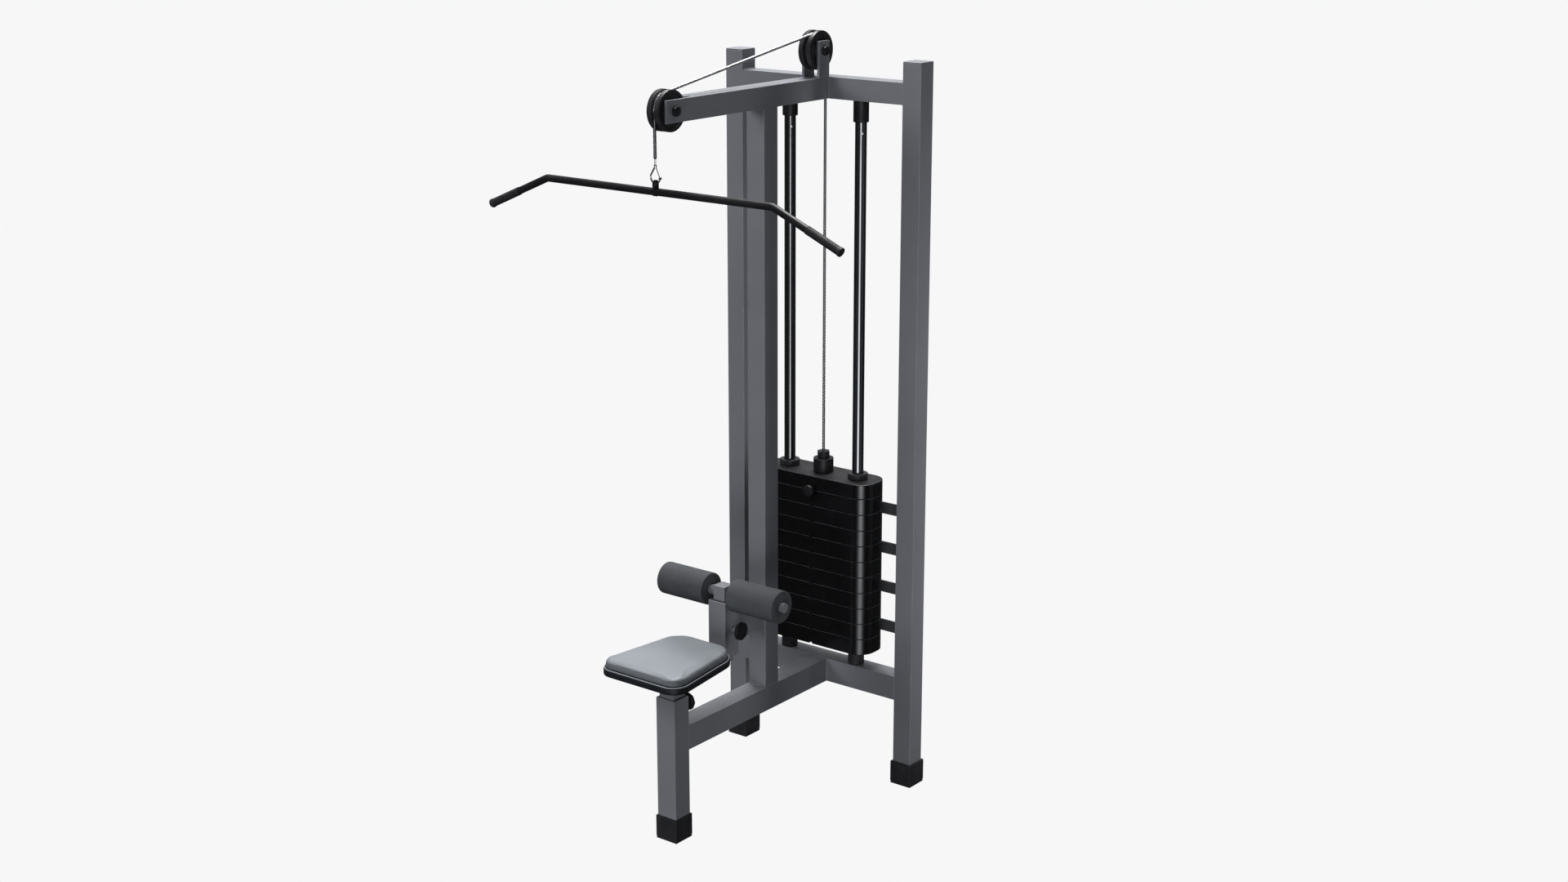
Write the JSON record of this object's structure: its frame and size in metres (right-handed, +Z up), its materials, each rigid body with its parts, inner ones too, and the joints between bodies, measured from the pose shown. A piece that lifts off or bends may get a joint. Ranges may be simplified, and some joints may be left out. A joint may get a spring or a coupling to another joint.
{
  "type": "lat pulldown machine",
  "caption": "Free-standing lat pulldown machine: square-tube frame, weight stack on guide rods, overhead cable with a wide bent bar, height-adjustable seat and foam thigh rollers.",
  "frame": {"origin": "on the floor, at the middle of the machine's footprint box", "axes": "+Z up, +Y from the seat towards the weight stack, +X to the right of a user seated facing the stack"},
  "size_m": [1.1948, 0.917, 2.1905],
  "materials": {
    "frame_paint": "satin",
    "guard_paint": "satin",
    "foot_rubber": "matte",
    "weight_iron": "glossy black coat",
    "rod_black": "gloss black",
    "bolt_black": "black oxide",
    "steel": "bright",
    "bush_plastic": "matte",
    "pulley_nylon": "satin",
    "cable_steel": "bright wire rope",
    "hook_chrome": "polished",
    "bar_black": "gloss",
    "grip_rubber": "matte",
    "board_black": "black coat",
    "seat_vinyl": "soft grain",
    "foam_skin": "smooth foam skin",
    "knob_plastic": "satin"
  },
  "bodies": {
    "frame": {"left_post": "frame_paint", "right_post": "frame_paint", "post_caps": "frame_paint", "upper_crossbeam": "frame_paint", "boom": "frame_paint", "column": "frame_paint", "lower_beam": "frame_paint", "lower_crossbeam": "frame_paint", "front_leg": "frame_paint", "left_foot": "foot_rubber", "right_foot": "foot_rubber", "front_foot": "foot_rubber", "guard_bars": "guard_paint", "pulley_brackets": "frame_paint", "pulley_bolts": "bolt_black", "pulley_spacers": "steel", "guide_rod_left": "rod_black", "guide_rod_right": "rod_black", "rod_collars": "rod_black", "rod_pins": "steel", "stack_bumpers": "foot_rubber", "weight_plate_01": "weight_iron", "weight_plate_02": "weight_iron", "weight_plate_03": "weight_iron", "weight_plate_04": "weight_iron", "weight_plate_05": "weight_iron", "weight_plate_06": "weight_iron", "weight_plate_07": "weight_iron", "weight_plate_08": "weight_iron", "weight_plate_09": "weight_iron", "weight_plate_10": "weight_iron", "thigh_bracket": "frame_paint", "thigh_sleeve": "frame_paint", "tube_bushes": "bush_plastic", "cable_over": "cable_steel", "cable_rear": "cable_steel", "cable_front": "cable_steel"},
    "stack": {"head_plate": "weight_iron", "guide_bushings": "bush_plastic", "selector_rod": "rod_black", "cable_nut": "rod_black"},
    "pin": {"selector_pin": "knob_plastic"},
    "front_wheel": {"front_pulley": "pulley_nylon", "front_bearings": "steel"},
    "rear_wheel": {"rear_pulley": "pulley_nylon", "rear_bearings": "steel"},
    "cable_end": {"cable_ferrule": "cable_steel"},
    "hook": {"snap_hook": "hook_chrome"},
    "bar": {"lat_bar": "bar_black", "bar_grips": "grip_rubber"},
    "seat": {"seat_post": "frame_paint", "seat_board": "board_black", "seat_pad": "seat_vinyl", "seat_screws": "bolt_black"},
    "seat_clamp": {"seat_knob": "knob_plastic"},
    "thigh_unit": {"thigh_post": "frame_paint", "roller_rod": "frame_paint"},
    "left_roller": {"roller_left": "foam_skin"},
    "right_roller": {"roller_right": "foam_skin"},
    "thigh_clamp": {"thigh_knob": "knob_plastic"}
  },
  "joints": [
    {"name": "stack_lift", "type": "slide", "parent": "frame", "child": "stack", "axis": [0, 0, 1], "range_m": [0, 0.93], "deforming": ["cable_rear"]},
    {"name": "pin_pull", "type": "slide", "parent": "stack", "child": "pin", "axis": [0, -1, 0], "range_m": [0, 0.095]},
    {"name": "handle_pull", "type": "slide", "parent": "frame", "child": "cable_end", "axis": [0, 0, -1], "range_m": [0, 0.93], "deforming": ["cable_front"]},
    {"name": "front_pulley_spin", "type": "hinge", "parent": "frame", "child": "front_wheel", "pos_m": [0, -0.2985, 2.032], "axis": [1, 0, 0], "range_deg": [0, 1160]},
    {"name": "rear_pulley_spin", "type": "hinge", "parent": "frame", "child": "rear_wheel", "pos_m": [0, 0.3405, 2.136], "axis": [1, 0, 0], "range_deg": [0, 1160]},
    {"name": "hook_turn", "type": "hinge", "parent": "cable_end", "child": "hook", "pos_m": [0, -0.3445, 1.9125], "axis": [0, 0, 1], "range_deg": [-75, 75]},
    {"name": "bar_swing", "type": "hinge", "parent": "hook", "child": "bar", "pos_m": [0, -0.3445, 1.85], "axis": [1, 0, 0], "range_deg": [-60, 60]},
    {"name": "seat_height", "type": "slide", "parent": "frame", "child": "seat", "axis": [0, 0, 1], "range_m": [-0.06, 0.08]},
    {"name": "seat_knob_turn", "type": "hinge", "parent": "frame", "child": "seat_clamp", "pos_m": [0, -0.2785, 0.389], "axis": [0, 1, 0], "range_deg": [0, 360]},
    {"name": "thigh_height", "type": "slide", "parent": "frame", "child": "thigh_unit", "axis": [0, 0, 1], "range_m": [0, 0.09]},
    {"name": "left_roller_spin", "type": "hinge", "parent": "thigh_unit", "child": "left_roller", "pos_m": [-0.12525, -0.0825, 0.664], "axis": [1, 0, 0], "continuous": true},
    {"name": "right_roller_spin", "type": "hinge", "parent": "thigh_unit", "child": "right_roller", "pos_m": [0.12525, -0.0825, 0.664], "axis": [1, 0, 0], "continuous": true},
    {"name": "thigh_knob_turn", "type": "hinge", "parent": "frame", "child": "thigh_clamp", "pos_m": [0.044, -0.0825, 0.5615], "axis": [1, 0, 0], "range_deg": [0, 360]}
  ],
  "couplings": [
    {"joint": "handle_pull", "follows": "stack_lift", "ratio": 1},
    {"joint": "front_pulley_spin", "follows": "stack_lift", "rad_per_m": 21.739},
    {"joint": "rear_pulley_spin", "follows": "stack_lift", "rad_per_m": 21.739}
  ]
}
